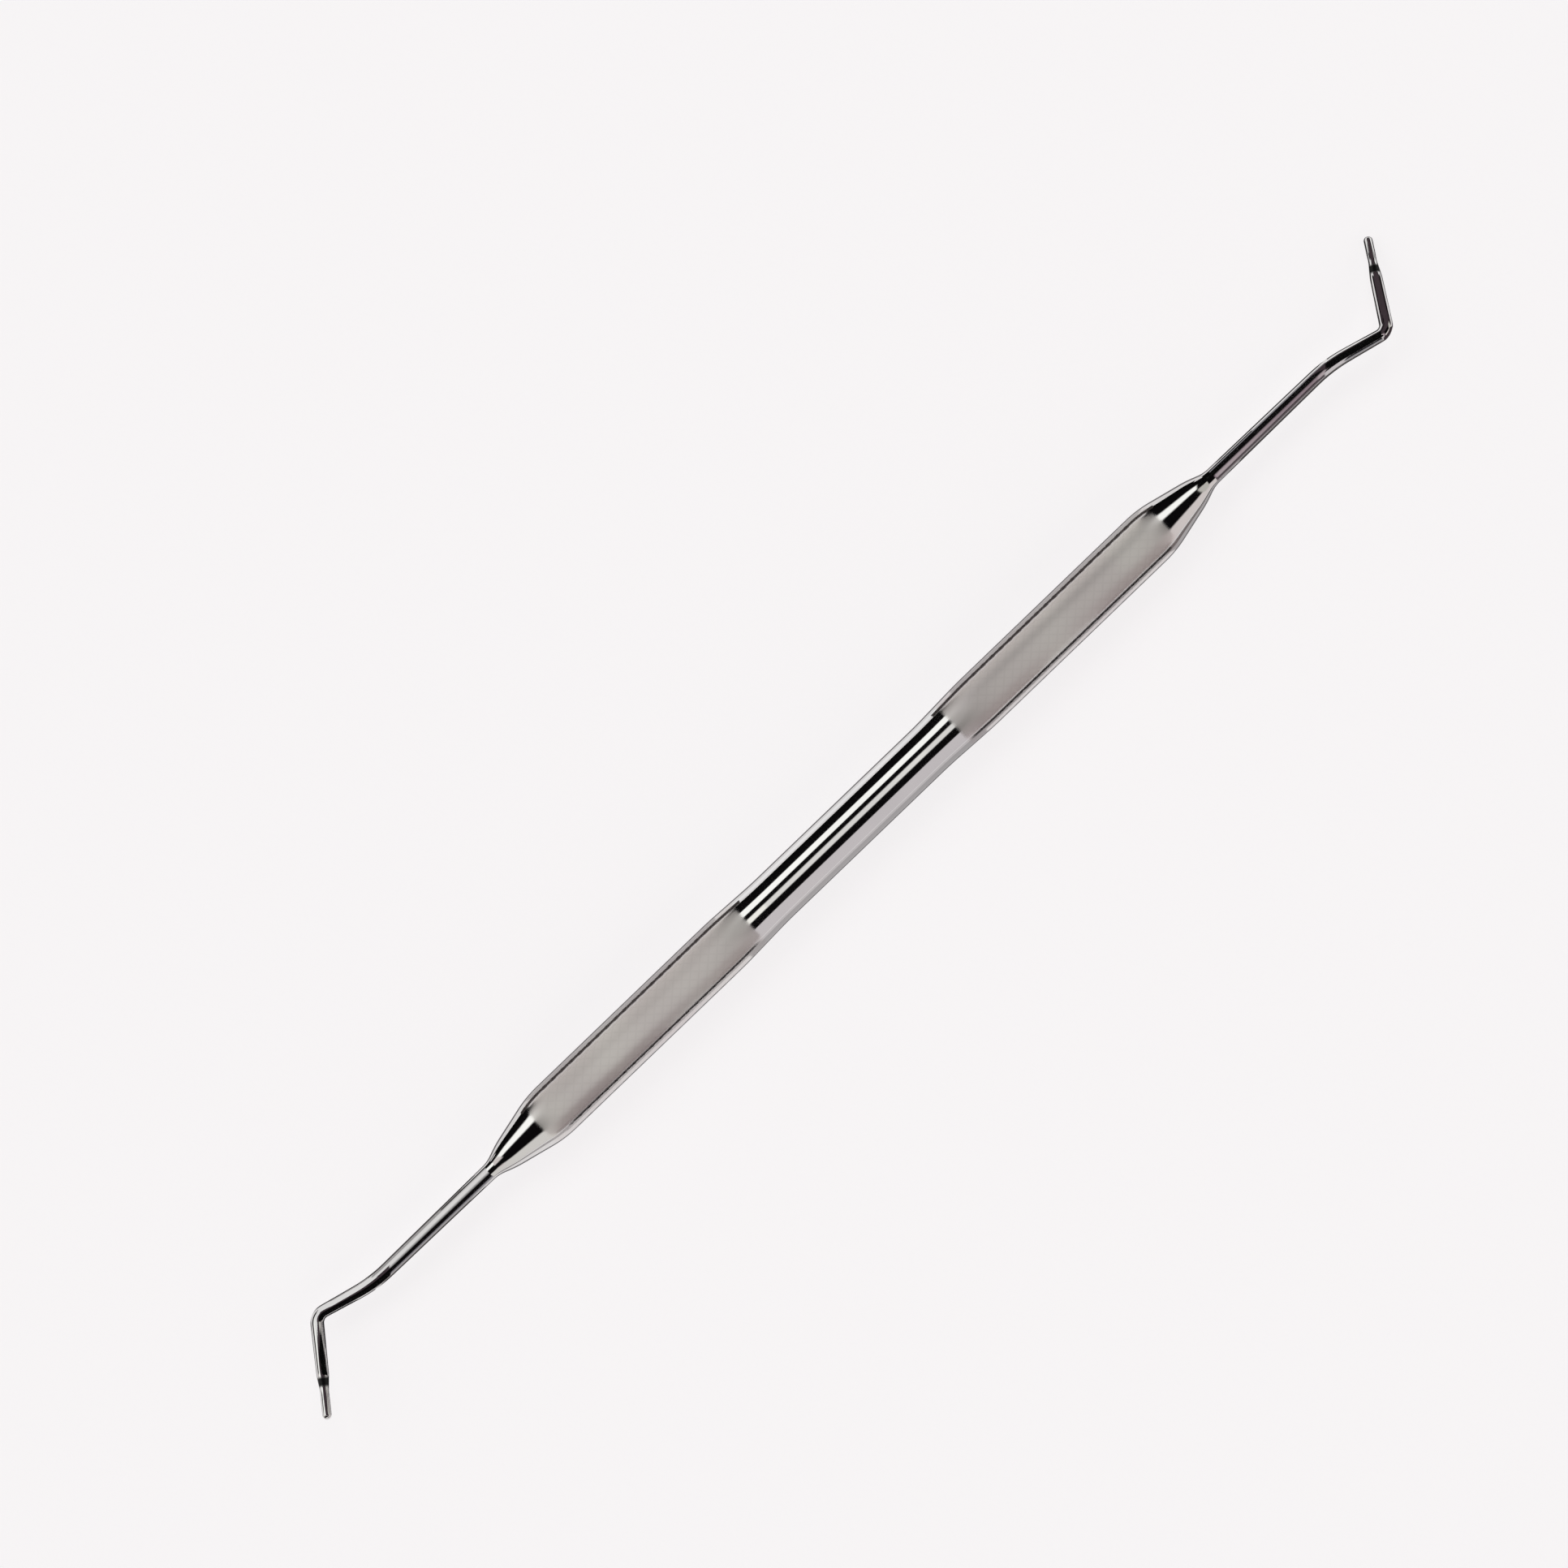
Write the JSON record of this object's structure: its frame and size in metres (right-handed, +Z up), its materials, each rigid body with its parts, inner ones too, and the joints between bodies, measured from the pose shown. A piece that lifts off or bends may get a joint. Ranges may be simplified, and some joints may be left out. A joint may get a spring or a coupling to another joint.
{
  "type": "double-ended probe",
  "caption": "Slim one-piece steel hand probe with a polished waist, knurled grips and a bent, tapered working tip at each end.",
  "frame": {"origin": "on the resting surface, straight under the middle of the handle", "axes": "+X along the handle towards the end whose tip touches the surface, +Y towards the side on which that tip points, +Z up from the resting surface"},
  "size_m": [0.1732, 0.0146, 0.0064],
  "materials": {
    "stainless_steel": "fine matte knurl on the two grips, mirror polish on the waist, cones, shanks and tips"
  },
  "bodies": {
    "root": {"double_ended_probe": "stainless_steel"}
  },
  "joints": []
}
